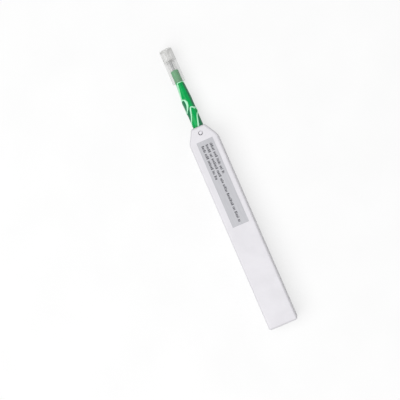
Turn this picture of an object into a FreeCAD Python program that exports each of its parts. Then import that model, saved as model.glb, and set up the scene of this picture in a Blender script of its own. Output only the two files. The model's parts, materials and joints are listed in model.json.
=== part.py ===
import FreeCAD, Part
import Sketcher
import math
import os

# Fibre connector cleaning pen, one-push reel type, lying on its flat back.
# Millimetres. +X runs along the pen to the tip and +Z up out of the labelled face.
# Every body is drawn from the nose of the case: x = 0 is the nose's front face,
# behind it is negative, and z = 0 is the pen's axis. The placements put it in the frame.

SIZES = {
    # case
    "case_length": 127.1, "case_width": 18.0, "case_height": 14.5, "case_wall": 1.4,
    "case_round": 1.35, "rear_round": 1.4, "nose_width": 8.6, "shoulder_length": 8.2,
    "shoulder_round": 6.0, "nose_round": 1.4,
    "label_length": 54.2, "label_width": 10.3, "label_thick": 0.12, "label_setback": 9.0,
    "label_shift": 0.4, "hole_setback": 4.2, "hole_radius": 1.35, "stud_radius": 1.0,
    "bush_length": 4.6, "bush_wall": 0.6,
    # nozzle and guide cap
    "grip_radius": 3.55, "grip_length": 18.8, "taper_length": 9.4, "neck_radius": 2.4,
    "neck_length": 1.3, "neck_in_cap": 7.7, "nozzle_wall": 0.9,
    "rim_height": 0.3, "rim_width": 0.7,
    "cap_radius": 3.85, "cap_draft": 0.2, "cap_length": 21.4, "lid_thick": 0.9,
    "ferrule_bore": 1.27, "guide_length": 5.6, "lid_pin_radius": 0.4,
    # tip
    "core_radius": 0.62, "sleeve_radius": 0.8, "head_radius": 1.15, "head_length": 0.6,
    "tip_reach": 6.9, "thread_thick": 0.25, "thread_width": 0.6, "tip_float": 1.5,
    "tip_wire": 0.4, "tip_coils": 6,
    # mechanism
    "travel": 12.0, "cam_lead": 24.0, "cam_radius": 4.2, "cam_depth": 1.2,
    "follower_radius": 0.8, "gear_module": 0.5, "gear_teeth": 22, "backlash": 0.08,
    "spool_radius": 6.2, "drum_radius": 2.4, "flange_thick": 0.8, "spool_height": 6.4,
    "post_radius": 1.5, "full_winding": 5.3, "used_winding": 3.9, "ratchet_teeth": 16,
    "spring_radius": 3.0, "spring_wire": 0.6, "spring_length": 28.0, "spring_coils": 8,
    # clearances
    "running_gap": 0.05, "slide_gap": 0.2, "seat_gap": 0.1,
}

doc = FreeCAD.newDocument("cleaning_pen")
sheet = doc.addObject("Spreadsheet::Sheet", "Sizes")
for row, (alias, value) in enumerate(SIZES.items(), start=1):
    sheet.set(f"A{row}", alias)
    sheet.set(f"B{row}", str(value))
    sheet.setAlias(f"B{row}", alias)
lookup = doc.addObject("Spreadsheet::Sheet", "Lookup")
doc.recompute()


def cell(text):
    """Return an expression with every sheet alias in it written as Sizes.alias."""
    words = []
    for word in text.replace("(", "( ").replace(")", " )").split():
        words.append(f"Sizes.{word}" if word in SIZES else word)
    return "(" + " ".join(words) + ")"


def number(text):
    """Work out an expression as a plain number, in a cell of the lookup sheet."""
    lookup.set("A1", "=" + text)
    lookup.recompute()
    value = lookup.get("A1")
    return float(getattr(value, "Value", value))


# Stations along the pen, measured from the nose, as expressions of the driving sizes.
NECK = cell("grip_length + taper_length")
CAP_REAR = cell(f"{NECK} + neck_length")
NOZZLE_FRONT = cell(f"{CAP_REAR} + neck_in_cap")
CAP_FRONT = cell(f"{CAP_REAR} + cap_length")
CAP_FACE = cell(f"{CAP_FRONT} - lid_thick")
GUIDE_REAR = cell(f"{CAP_FACE} - guide_length")
TIP_FRONT = cell(f"{NOZZLE_FRONT} + tip_reach")
REAR = cell("0 - case_length")
FRAME_X = cell(f"( case_length - {CAP_FRONT} ) / 2")
HALF_HEIGHT = cell("case_height / 2")
ROOF = cell("case_height / 2 - case_wall")
INNER_Y = cell("case_width / 2 - case_wall")
BUSH_FRONT = cell("0 - case_wall")
BUSH_REAR = cell(f"{BUSH_FRONT} - bush_length")
BUSH_RADIUS = cell("grip_radius + running_gap + bush_wall")
FLANGE_FRONT = cell(f"{BUSH_REAR} - seat_gap")
FLANGE_THICK = 1.8
BLOCK_FRONT = cell(f"{FLANGE_FRONT} - {FLANGE_THICK}")
BLOCK_THICK = 3.0
BLOCK_REAR = cell(f"{BLOCK_FRONT} - {BLOCK_THICK}")
CAM_FRONT = cell(f"{BLOCK_REAR} - running_gap")
CAM_LANDS = 9.5
CAM_REAR = cell(f"{CAM_FRONT} - travel - {CAM_LANDS}")
FOLLOWER_INSET = 3.6
FOLLOWER_X = cell(f"{CAM_REAR} + {FOLLOWER_INSET}")
BEARING_THICK = 2.0
BEARING_REAR = cell(f"{CAM_REAR} - {BEARING_THICK}")
THREAD_ROOM = 3.6
TAKE_UP_X = cell(f"{BEARING_REAR} - {THREAD_ROOM} - spool_radius")
REEL_GAP = 2.4
SUPPLY_X = cell(f"{TAKE_UP_X} - 2 * spool_radius - {REEL_GAP}")
REAR_GAP = 2.0
CHASSIS_REAR = cell(f"{SUPPLY_X} - spool_radius - {REAR_GAP}")
SEAT_FRONT = cell(f"{CHASSIS_REAR} - spring_length")
PITCH_RADIUS = cell("gear_module * gear_teeth / 2")
TOOTH_PITCH = cell("pi * gear_module")

# Levels of the reel stack, measured from the pen's axis.
FLOOR = cell(f"0 - {ROOF} + slide_gap")
FLOOR_THICK = 1.1
DECK = cell(f"{FLOOR} + {FLOOR_THICK}")
GEAR_BASE = cell(f"{DECK} + slide_gap")
GEAR_THICK = 1.6
SPOOL_BASE = cell(f"{GEAR_BASE} + {GEAR_THICK}")
SPOOL_TOP = cell(f"{SPOOL_BASE} + spool_height")
COVER_BASE = cell(f"{SPOOL_TOP} + slide_gap")
COVER_TOP = cell(f"{ROOF} - slide_gap")

sub_parts = []


def new_body(label, station="0"):
    """Start a sub-part drawn from a station of the pen and placed in the frame."""
    body = doc.addObject("PartDesign::Body", label + "_body")
    body.Label = label
    body.setExpression("Placement.Base.x", cell(f"{FRAME_X} + {station}"))
    body.setExpression("Placement.Base.z", HALF_HEIGHT)
    sub_parts.append(body)
    return body


def new_sketch(body, plane, level=None):
    """Attach a sketch to one of the body's own planes, moved along the plane's normal."""
    sketch = body.newObject("Sketcher::SketchObject", f"{body.Label}_{plane}")
    origin_plane = [f for f in body.Origin.OriginFeatures if f.Role == f"{plane}_Plane"][0]
    sketch.AttachmentSupport = [(origin_plane, "")]
    sketch.MapMode = "FlatFace"
    if level is not None:
        sketch.setExpression("AttachmentOffset.Base.z", level)
    return sketch


def pin_point(sketch, geometry, point, across, up):
    """Fix one point of a sketch by its two distances from the origin."""
    for kind, value in (("DistanceX", across), ("DistanceY", up)):
        place = sketch.addConstraint(Sketcher.Constraint(kind, geometry, point, number(value)))
        sketch.setExpression(f"Constraints[{place}]", value)


def polygon(sketch, corners):
    """Draw a closed outline through corners given as pairs of expressions."""
    points = [FreeCAD.Vector(number(x), number(y), 0) for x, y in corners]
    first = sketch.GeometryCount
    count = len(points)
    for i in range(count):
        sketch.addGeometry(Part.LineSegment(points[i], points[(i + 1) % count]))
    for i in range(count):
        link = (first + i, 2, first + (i + 1) % count, 1)
        sketch.addConstraint(Sketcher.Constraint("Coincident", *link))
    for i, (across, up) in enumerate(corners):
        pin_point(sketch, first + i, 1, across, up)


def box(sketch, x_low, x_high, y_low, y_high):
    """Draw a rectangle between two pairs of expressions."""
    polygon(sketch, [(x_low, y_low), (x_high, y_low), (x_high, y_high), (x_low, y_high)])


def circle(sketch, across, up, radius):
    """Draw a circle with its centre and radius given as expressions."""
    centre = FreeCAD.Vector(number(across), number(up), 0)
    start = number(radius)
    ring = sketch.addGeometry(Part.Circle(centre, FreeCAD.Vector(0, 0, 1), start))
    pin_point(sketch, ring, 3, across, up)
    size = sketch.addConstraint(Sketcher.Constraint("Radius", ring, start))
    sketch.setExpression(f"Constraints[{size}]", radius)


def feature(body, kind, sketch, length=None, reverse=False, middle=False, through=False):
    """Add a pad or pocket of a sketch, to one side, both sides or right through."""
    item = body.newObject(f"PartDesign::{kind}", f"{body.Label}_{kind}")
    item.Profile = sketch
    item.Reversed = reverse
    if middle:
        item.SideType = "Symmetric"
    if through:
        item.Type = "ThroughAll"
    else:
        item.setExpression("Length", length)
    sketch.Visibility = False
    return item


def turned(body, kind, sketch):
    """Turn a sketch a full circle about its own horizontal axis, the pen's axis."""
    item = body.newObject(f"PartDesign::{kind}", f"{body.Label}_{kind}")
    item.Profile = sketch
    item.ReferenceAxis = (sketch, ["H_Axis"])
    item.Angle = 360
    return item


def turn_profile(body, kind, corners):
    """Turn an outline drawn in the XZ plane about the pen's axis."""
    sketch = new_sketch(body, "XZ")
    polygon(sketch, corners)
    return turned(body, kind, sketch)


def tube_profile(body, kind, x_low, x_high, inner, outer):
    """Turn a rectangle from one station to another between two radii."""
    corners = [(x_low, inner), (x_high, inner), (x_high, outer), (x_low, outer)]
    return turn_profile(body, kind, corners)


def round_edges(body, base, radius, wanted):
    """Fillet the edges of a feature that a test picks out."""
    doc.recompute()
    edges = base.Shape.Edges
    names = [f"Edge{i}" for i, edge in enumerate(edges, start=1) if wanted(edge)]
    item = body.newObject("PartDesign::Fillet", f"{body.Label}_Fillet")
    item.Base = (base, names)
    item.setExpression("Radius", radius)
    base.Visibility = False
    return item


def upright_at(edge, x_low, x_high):
    """Tell whether an edge stands along Z between two stations of the pen."""
    ends = [v.Point for v in edge.Vertexes]
    if len(ends) < 2 or abs(ends[0].z - ends[1].z) < 0.5:
        return False
    return abs(ends[0].y - ends[1].y) < 0.01 and all(x_low < p.x < x_high for p in ends)


def case_half(label, top):
    """Mould one half shell of the case, open at the parting plane."""
    body = new_body(label)
    outline = new_sketch(body, "XY")
    half = cell("case_width / 2")
    nose = cell("nose_width / 2")
    shoulder = cell("0 - shoulder_length")
    polygon(outline, [(REAR, f"-{half}"), (shoulder, f"-{half}"), ("0", f"-{nose}"),
                      ("0", nose), (shoulder, half), (REAR, half)])
    shell = feature(body, "Pad", outline, HALF_HEIGHT, reverse=not top)
    shell = round_edges(body, shell, cell("shoulder_round"),
                        lambda e: upright_at(e, number(shoulder) - 1, number(shoulder) + 1))
    shell = round_edges(body, shell, cell("nose_round"), lambda e: upright_at(e, -0.1, 0.1))
    shell = round_edges(body, shell, cell("rear_round"),
                        lambda e: upright_at(e, number(REAR) - 0.1, number(REAR) + 0.1))
    outer = number(HALF_HEIGHT) - 0.1
    round_edges(body, shell, cell("case_round"),
                lambda e: min(abs(v.Point.z) for v in e.Vertexes) > outer)
    return body


def hollow_case(body, top):
    """Hollow a half shell: the reel chamber, the bush seat and the nozzle opening."""
    chamber = new_sketch(body, "XY")
    back = cell(f"{REAR} + case_wall")
    side = INNER_Y
    throat = cell(f"{BUSH_RADIUS} + {THROAT_GAP}")
    polygon(chamber, [(back, f"-{side}"), (CHAMBER_FRONT, f"-{side}"),
                      (BUSH_REAR, f"-{throat}"), (BUSH_REAR, throat),
                      (CHAMBER_FRONT, side), (back, side)])
    feature(body, "Pocket", chamber, ROOF, reverse=top)
    tube_profile(body, "Groove", cell(f"{BUSH_REAR} - 1"), BUSH_FRONT, "0",
                 cell(f"{BUSH_RADIUS} + running_gap"))
    tube_profile(body, "Groove", cell(f"{BUSH_FRONT} - 1"), "1", "0",
                 cell("grip_radius + slide_gap"))


def block(body, x_low, x_high, y_low, y_high, z_low, z_high):
    """Add a rectangular block between stations, sides and levels."""
    sketch = new_sketch(body, "XY", z_low)
    box(sketch, x_low, x_high, y_low, y_high)
    return feature(body, "Pad", sketch, cell(f"{z_high} - {z_low}"))


def post(body, across, side, radius, z_low, z_high, kind="Pad"):
    """Add or cut a round upright post between two levels."""
    sketch = new_sketch(body, "XY", z_low)
    circle(sketch, across, side, radius)
    item = feature(body, kind, sketch, cell(f"{z_high} - {z_low}"))
    if kind == "Pocket":
        item.Reversed = True
    return item

# ---- case ----------------------------------------------------------------------------
SIDE = cell(f"{INNER_Y} - slide_gap")
THROAT_GAP = 0.7
CHAMBER_FRONT = cell("0 - shoulder_length - 0.8")
lower = case_half("lower_case", top=False)
hollow_case(lower, top=False)
upper = case_half("upper_case", top=True)
hollow_case(upper, top=True)

# Feed rack, moulded on the lower half's side wall at the level of the take-up gear.
RACK_TIP = cell(f"{PITCH_RADIUS} - gear_module * 0.9")
RACK_ROOT = cell(f"{PITCH_RADIUS} + gear_module * 1.2")
RACK_TEETH = 13
rack_end = cell(f"{TAKE_UP_X} + 2.5 * {TOOTH_PITCH}")
rack_start = cell(f"{rack_end} - {RACK_TEETH} * {TOOTH_PITCH}")
rack_top = cell(f"{GEAR_BASE} + {GEAR_THICK}")
inside_wall = cell(f"{INNER_Y} + case_wall / 2")
inside_floor = cell(f"0 - {ROOF} - case_wall / 2")
block(lower, rack_start, rack_end, RACK_ROOT, inside_wall, inside_floor, rack_top)
tooth = new_sketch(lower, "XY", inside_floor)
tooth_x = cell(f"{rack_start} + {TOOTH_PITCH} / 2")
half_root = cell(f"{TOOTH_PITCH} / 4 - backlash / 2 + 1.2 * gear_module * tan(20deg)")
half_tip = cell(f"{TOOTH_PITCH} / 4 - backlash / 2 - 0.9 * gear_module * tan(20deg)")
tooth_base = cell(f"{RACK_ROOT} + 0.2")
polygon(tooth, [(f"{tooth_x} - {half_root}", tooth_base),
                (f"{tooth_x} - {half_root}", RACK_ROOT),
                (f"{tooth_x} - {half_tip}", RACK_TIP),
                (f"{tooth_x} + {half_tip}", RACK_TIP),
                (f"{tooth_x} + {half_root}", RACK_ROOT),
                (f"{tooth_x} + {half_root}", tooth_base)])
first_tooth = feature(lower, "Pad", tooth, cell(f"{rack_top} - {inside_floor}"))
teeth = lower.newObject("PartDesign::LinearPattern", "rack_teeth")
teeth.Originals = [first_tooth]
teeth.Direction = (tooth, ["H_Axis"])
teeth.Occurrences = RACK_TEETH
teeth.setExpression("Length", cell(f"{TOOTH_PITCH} * {RACK_TEETH - 1}"))
lower.Tip = teeth

# Spring seat, a cross wall with a spigot for the return spring.
SEAT_THICK = 1.6
seat_rear = cell(f"{SEAT_FRONT} - {SEAT_THICK}")
seat_side = cell(f"{INNER_Y} + case_wall / 2")
block(lower, seat_rear, SEAT_FRONT, f"-{seat_side}", seat_side, inside_floor, "0")
block(lower, seat_rear, SEAT_FRONT, f"-{SIDE}", SIDE, "-0.5", cell(f"{ROOF} - seat_gap"))
SPIGOT = 3.0
tube_profile(lower, "Revolution", cell(f"{SEAT_FRONT} - 0.5"),
             cell(f"{SEAT_FRONT} + {SPIGOT}"), "0",
             cell("spring_radius - spring_wire / 2 - slide_gap"))

# Locating pegs at the rear of the case and their sockets in the upper half.
PEG_INSET = 8
PEG_SIDE = 4.2
PEG_RADIUS, PEG_HEIGHT = 0.8, 2.5
PEG_FOOT, SOCKET_FOOT = "1.6", "1.9"
SOCKET_DEPTH = "3"
inside_roof = cell(f"{ROOF} + case_wall / 2")
peg_x = cell(f"{REAR} + {PEG_INSET}")
for side in (str(PEG_SIDE), str(-PEG_SIDE)):
    post(lower, peg_x, side, PEG_FOOT, inside_floor, "0")
    post(lower, peg_x, side, str(PEG_RADIUS), "-0.5", str(PEG_HEIGHT))
    post(upper, peg_x, side, SOCKET_FOOT, cell("seat_gap"), inside_roof)
    post(upper, peg_x, side, cell(f"{PEG_RADIUS} + running_gap"), "0", SOCKET_DEPTH, "Pocket")

# Cam follower, moulded under the upper half's roof, and the hole for the bush's stud.
FOLLOWER_FOOT = 1.0
CAM_GAP = 0.35
follower_tip = cell("cam_radius - cam_depth + running_gap * 2")
post(upper, FOLLOWER_X, "0", cell("follower_radius"), follower_tip, inside_roof)
post(upper, FOLLOWER_X, "0", cell(f"follower_radius + {FOLLOWER_FOOT}"),
     cell(f"cam_radius + {CAM_GAP}"), inside_roof)
hole = new_sketch(upper, "XY")
circle(hole, cell("0 - hole_setback"), "0", cell("hole_radius"))
feature(upper, "Pocket", hole, reverse=True, through=True)

label = new_body("label")
label_sketch = new_sketch(label, "XY", HALF_HEIGHT)
box(label_sketch, cell("0 - label_setback - label_length"), cell("0 - label_setback"),
    cell("0 - label_width / 2 - label_shift"), cell("label_width / 2 - label_shift"))
feature(label, "Pad", label_sketch, cell("label_thick"))

bush = new_body("front_bush")
tube_profile(bush, "Revolution", BUSH_REAR, BUSH_FRONT, cell("grip_radius + running_gap"),
             BUSH_RADIUS)
stud_base = cell(f"{BUSH_RADIUS} - bush_wall / 2")
stud = new_sketch(bush, "XY", stud_base)
circle(stud, cell("0 - hole_setback + hole_radius - stud_radius - seat_gap"), "0",
       cell("stud_radius"))
feature(bush, "Pad", stud, cell(f"{HALF_HEIGHT} - case_wall / 2 - {stud_base}"))

# ---- carriage ------------------------------------------------------------------------
BORE_END = cell("grip_length - 0.5")
WIDE_BORE = cell("grip_radius - nozzle_wall")
TIP_BORE = cell("head_radius + slide_gap")
FLANGE_RADIUS = cell(f"{BUSH_RADIUS} + 0.5")
GRIP_CORE = cell("grip_radius - rim_height")


def surface(share):
    """Return the nozzle's outer radius at a share of the grip's length from the nose."""
    slope = f"( {NECK} - grip_length * {share} ) / taper_length"
    return cell(f"neck_radius + rim_height + ( grip_radius - neck_radius - rim_height ) * "
                f"max( 0 ; min( 1 ; {slope} ) )")


def smooth(path, closed=False, parts=2):
    """Round a run of (share, angle) points off with a curve that passes through them."""
    count = len(path)
    ends = path[-1:] + path + path[:2] if closed else path[:1] + path + path[-1:]
    fine = []
    for i in range(count if closed else count - 1):
        before, first, last, after = ends[i:i + 4]
        for step in range(parts):
            t = step / parts
            weights = (-t + 2 * t ** 2 - t ** 3, 2 - 5 * t ** 2 + 3 * t ** 3,
                       t + 4 * t ** 2 - 3 * t ** 3, t ** 3 - t ** 2)
            points = zip(before, first, last, after)
            fine.append(tuple(sum(w * p for w, p in zip(weights, axis)) / 2 for axis in points))
    return fine if closed else fine + path[-1:]


def rim(body, turn, path, closed=False):
    """Pad a band that follows a path of (share, angle) points seen from one side."""
    sketch = new_sketch(body, "XY")
    places = [(cell(f"grip_length * {share:.4f}"),
               cell(f"0 - {surface(f'{share:.4f}')} * sin( {angle - turn:.2f}deg )"))
              for share, angle in path]
    spots = [FreeCAD.Vector(number(x), number(y), 0) for x, y in places]
    count = len(spots)
    sides = {1: [], -1: []}
    for i, (x, y) in enumerate(places):
        before = spots[i - 1 if closed or i else 0]
        after = spots[(i + 1) % count if closed else min(i + 1, count - 1)]
        run = (after - before).normalize()
        for side, edge in sides.items():
            edge.append((cell(f"{x} - {side * run.y:.4f} * rim_width / 2"),
                         cell(f"{y} + {side * run.x:.4f} * rim_width / 2")))
    if closed:
        polygon(sketch, sides[1])
        polygon(sketch, sides[-1])
    else:
        polygon(sketch, sides[1] + sides[-1][::-1])
    feature(body, "Pad", sketch, cell("grip_radius + 1"))
    turn_body(body, turn)


def turn_body(body, angle):
    """Turn a body about the pen's axis, positive from +Z towards -Y."""
    turn = FreeCAD.Rotation(FreeCAD.Vector(1, 0, 0), angle)
    body.Placement = FreeCAD.Placement(body.Placement.Base, turn)


blank = new_body("nozzle_blank")
turn_profile(blank, "Revolution", [
    (BLOCK_FRONT, WIDE_BORE), (BLOCK_FRONT, FLANGE_RADIUS), (FLANGE_FRONT, FLANGE_RADIUS),
    (FLANGE_FRONT, GRIP_CORE), (cell("grip_length"), GRIP_CORE), (NECK, cell("neck_radius")),
    (cell(f"{NOZZLE_FRONT} - 0.4"), cell("neck_radius")),
    (NOZZLE_FRONT, cell("neck_radius - 0.4")), (NOZZLE_FRONT, TIP_BORE),
    (BORE_END, TIP_BORE), (BORE_END, WIDE_BORE)])
skin = new_body("nozzle_skin")
SKIN_FRONT = cell(f"{CAP_REAR} - seat_gap")
turn_profile(skin, "Revolution", [
    ("0", cell(f"{GRIP_CORE} - 0.1")), ("0", cell("grip_radius")),
    (cell("grip_length"), cell("grip_radius")), (NECK, cell("neck_radius + rim_height")),
    (SKIN_FRONT, cell("neck_radius + rim_height")), (SKIN_FRONT, cell("neck_radius - 0.1")),
    (NECK, cell("neck_radius - 0.1")), (cell("grip_length"), cell(f"{GRIP_CORE} - 0.1"))])

# Grip rims, leaning petals that overlap round the nozzle. Each is seen from one side and
# has points of (share of the grip's length, angle from the top towards -Y).
RIMS = [
    (-25, [(1.555, 12), (1.56, -14), (1.50, -38), (1.35, -46), (1.0, -54)]),
    (70, [(1.555, 12), (1.56, 48), (1.50, 86), (1.36, 112), (0.98, 124)]),
    (-22, [(0.60, 51), (0.65, 33), (0.68, 14), (0.63, 0), (0.46, -14), (0.30, -35), (0.10, -72)]),
    (45, [(0.54, 94), (0.49, 76), (0.40, 45), (0.27, 29), (0.02, 7)]),
    (112, [(0.65, 60), (0.62, 68), (0.54, 92), (0.50, 118), (0.36, 134), (0.02, 146)]),
    (195, [(0.56, 150), (0.68, 172), (0.66, 190), (0.46, 204), (0.28, 222), (0.02, 248)]),
]
# One more rim is a leaning oval: its middle, half length, half width and lean.
WINDOW_SHARE, WINDOW_ANGLE = 0.755, -62
WINDOW_REACH, WINDOW_SPREAD = 0.234, 45
WINDOW_LEAN = 20
WINDOW_POINTS = 12
window = []
for step in range(WINDOW_POINTS):
    phase = math.tau * step / WINDOW_POINTS
    swing = WINDOW_SPREAD * math.cos(phase) + WINDOW_LEAN * math.sin(phase)
    window.append((WINDOW_SHARE + WINDOW_REACH * math.sin(phase), WINDOW_ANGLE + swing))
bands = []
for turn, path in RIMS:
    bands.append(new_body(f"rim_{len(bands) + 1}"))
    rim(bands[-1], turn, smooth(path))
bands.append(new_body(f"rim_{len(bands) + 1}"))
rim(bands[-1], WINDOW_ANGLE, window, closed=True)
rims = doc.addObject("Part::MultiFuse", "rims")
rims.Shapes = bands
rims_on_skin = doc.addObject("Part::Common", "rims_on_skin")
rims_on_skin.Base, rims_on_skin.Tool = rims, skin
nozzle = doc.addObject("Part::Fuse", "nozzle")
nozzle.Base, nozzle.Tool = blank, rims_on_skin
nozzle.Label = "nozzle"
sub_parts = [part for part in sub_parts if part not in bands + [blank, skin]] + [nozzle]

CAM_NECK = cell("core_radius + running_gap + 1.4")
CAM_JOURNAL = cell("core_radius + running_gap + 0.9")
CAM_NECK_FRONT = cell("grip_length * 0.28")
RACK_SIDE = cell(f"{RACK_TIP} - 0.35")
WALL_FRONT = cell(f"{CAM_REAR} - running_gap")
CORE_REAR = cell(f"{BEARING_REAR} - 0.5")
STRAND_END = cell(f"{CORE_REAR} - tip_float - 0.3")

BLOCK_HALF = 4.8
BEARING_HALF = 4.6
REAR_WALL = 1.4
RAIL_THICK, RAIL_TOP = 0.9, -2.6
rail_side = cell(f"{RAIL_THICK} - {SIDE}")
chassis = new_body("reel_chassis")
block(chassis, CHASSIS_REAR, BLOCK_REAR, f"-{SIDE}", RACK_SIDE, FLOOR, DECK)
block(chassis, BLOCK_REAR, cell(f"{BLOCK_FRONT} - seat_gap"), str(-BLOCK_HALF),
      str(BLOCK_HALF), FLOOR, str(BLOCK_HALF))
block(chassis, BEARING_REAR, WALL_FRONT, str(-BEARING_HALF), RACK_SIDE, FLOOR, COVER_BASE)
block(chassis, CHASSIS_REAR, cell(f"{CHASSIS_REAR} + {REAR_WALL}"), f"-{SIDE}", SIDE, FLOOR,
      COVER_BASE)
block(chassis, CHASSIS_REAR, BLOCK_REAR, f"-{SIDE}", rail_side, FLOOR, str(RAIL_TOP))
for station in (TAKE_UP_X, SUPPLY_X):
    post(chassis, station, "0", cell("post_radius"), cell(f"{DECK} - 0.5"), COVER_TOP)
PIN_RADIUS = 0.5
BEND_INSET = 0.4
BEND_X = cell(f"{TAKE_UP_X} + spool_radius - {BEND_INSET}")
PIN_X = cell(f"{BEND_X} - {BEND_INSET}")
PIN_Y = cell(f"{RACK_SIDE} - {PIN_RADIUS}")
post(chassis, PIN_X, PIN_Y, str(PIN_RADIUS), cell(f"{DECK} - 0.5"), COVER_BASE)
tube_profile(chassis, "Revolution", cell(f"{CHASSIS_REAR} - {SPIGOT}"),
             cell(f"{CHASSIS_REAR} + 0.5"), "0",
             cell("spring_radius - spring_wire / 2 - slide_gap"))
tube_profile(chassis, "Groove", cell(f"{BLOCK_REAR} - 0.5"), "0", "0",
             cell(f"{CAM_NECK} + running_gap"))
tube_profile(chassis, "Groove", cell(f"{BEARING_REAR} - 1"), cell(f"{WALL_FRONT} + 1"), "0",
             cell(f"{CAM_JOURNAL} + running_gap"))

COVER_INSET = 0.4
cover_side = cell(f"{SIDE} - {COVER_INSET}")
cover = new_body("reel_cover")
block(cover, CHASSIS_REAR, WALL_FRONT, f"-{cover_side}", cover_side, COVER_BASE, COVER_TOP)
for station in (TAKE_UP_X, SUPPLY_X):
    post(cover, station, "0", cell("post_radius + running_gap"), COVER_BASE, COVER_TOP, "Pocket")

WASHER_WIDTH = 1.8
brake = new_body("brake_washer", SUPPLY_X)
washer = new_sketch(brake, "XY", DECK)
circle(washer, "0", "0", cell(f"post_radius + {WASHER_WIDTH}"))
circle(washer, "0", "0", cell("post_radius + running_gap"))
feature(brake, "Pad", washer, cell(f"{SPOOL_BASE} - {DECK} - running_gap"))


def strand(label, corners):
    """Lay a flat run of cleaning thread on edge along the pen's mid level."""
    body = new_body(label)
    sketch = new_sketch(body, "XY")
    far = [(x, cell(f"{y} + thread_thick")) for x, y in reversed(corners)]
    polygon(sketch, corners + far)
    feature(body, "Pad", sketch, cell("thread_width"), middle=True)
    return body


ENTRY = cell("core_radius - thread_thick")
LEAVE = 2.2
strand("fresh_thread", [(SUPPLY_X, cell("full_winding + running_gap")),
                        (BEND_X, cell(f"{PIN_Y} + {PIN_RADIUS} + running_gap")),
                        (STRAND_END, ENTRY)])
used_side = cell("0 - used_winding - thread_thick - running_gap")
strand("used_thread", [(TAKE_UP_X, used_side), (cell(f"{TAKE_UP_X} + {LEAVE}"), used_side),
                       (STRAND_END, cell(f"0 - {ENTRY} - thread_thick"))])


CHORDS = 12
SIDES = 6
END_SLACK = 0.02


def coil(label, rear, front, radius, wire, turns):
    """Wind a wire compression spring along the pen's axis, as a swept chain of chords."""
    start = number(cell(f"{rear} + {wire} / 2 + {END_SLACK}"))
    length = number(cell(f"{front} - {rear} - {wire} - 2 * {END_SLACK}"))
    middle, reach = number(radius), number(cell(f"{wire} / 2"))
    steps = int(number(turns)) * CHORDS
    path = []
    for i in range(steps + 1):
        angle = math.tau * i / CHORDS
        path.append(FreeCAD.Vector(start + length * i / steps, middle * math.sin(angle),
                                   middle * math.cos(angle)))
    along = (path[1] - path[0]).normalize()
    across = FreeCAD.Vector(0, 0, 1).cross(along).normalize()
    up = along.cross(across)
    corners = []
    for k in range(SIDES):
        angle = math.tau * (k + 0.5) / SIDES
        corners.append(path[0] + across * (reach * math.cos(angle))
                       + up * (reach * math.sin(angle)))
    section = Part.makePolygon(corners + corners[:1])
    spring = doc.addObject("Part::Feature", label)
    spring.Label = label
    spring.Shape = Part.makePolygon(path).makePipeShell([section], True, False, 1)
    spring.setExpression("Placement.Base.x", FRAME_X)
    spring.setExpression("Placement.Base.z", HALF_HEIGHT)
    sub_parts.append(spring)


coil("return_spring", SEAT_FRONT, CHASSIS_REAR, cell("spring_radius"), cell("spring_wire"),
     cell("spring_coils"))

# ---- reels ---------------------------------------------------------------------------
def turned_upright(body, corners):
    """Turn an outline drawn in the XZ plane about the body's own upright axis."""
    sketch = new_sketch(body, "XZ")
    polygon(sketch, corners)
    item = body.newObject("PartDesign::Revolution", f"{body.Label}_Revolution")
    item.Profile = sketch
    item.ReferenceAxis = (sketch, ["V_Axis"])
    item.Angle = 360
    return item


def spool(label, station):
    """Turn one thread spool, drum and two flanges."""
    body = new_body(label, station)
    bore, edge, drum = cell("post_radius + running_gap"), cell("spool_radius"), cell("drum_radius")
    low, high = cell(f"{SPOOL_BASE} + flange_thick"), cell(f"{SPOOL_TOP} - flange_thick")
    turned_upright(body, [(bore, SPOOL_BASE), (edge, SPOOL_BASE), (edge, low), (drum, low),
                          (drum, high), (edge, high), (edge, SPOOL_TOP), (bore, SPOOL_TOP)])
    return body


def winding(label, station, radius):
    """Fill a spool's drum with wound thread out to a radius."""
    body = new_body(label, station)
    low = cell(f"{SPOOL_BASE} + flange_thick + seat_gap")
    high = cell(f"{SPOOL_TOP} - flange_thick - seat_gap")
    turned_upright(body, [(cell("drum_radius"), low), (radius, low), (radius, high),
                          (cell("drum_radius"), high)])


def wheel_pattern(body, sketch, depth, reverse, count, name):
    """Cut one notch and repeat it evenly round the body's upright axis."""
    notch = feature(body, "Pocket", sketch, depth, reverse=reverse)
    pattern = body.newObject("PartDesign::PolarPattern", name)
    pattern.Originals = [notch]
    pattern.Axis = (sketch, ["N_Axis"])
    pattern.Angle = 360
    pattern.setExpression("Occurrences", count)
    body.Tip = pattern


spool("supply_spool", SUPPLY_X)
winding("fresh_winding", SUPPLY_X, cell("full_winding"))
take_up = spool("take_up_spool", TAKE_UP_X)
winding("used_winding", TAKE_UP_X, cell("used_winding"))

ratchet = new_sketch(take_up, "XY", cell(f"{SPOOL_TOP} - flange_thick"))
notch_side = cell("0 - spool_radius * pi / ratchet_teeth")
NOTCH_DEPTH = 0.6
polygon(ratchet, [("0", cell(f"spool_radius - {NOTCH_DEPTH}")), (notch_side, cell("spool_radius")),
                  (notch_side, cell("spool_radius + 1")), ("0", cell("spool_radius + 1"))])
wheel_pattern(take_up, ratchet, cell("flange_thick + 0.1"), True, cell("ratchet_teeth"),
              "ratchet_notches")

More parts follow.
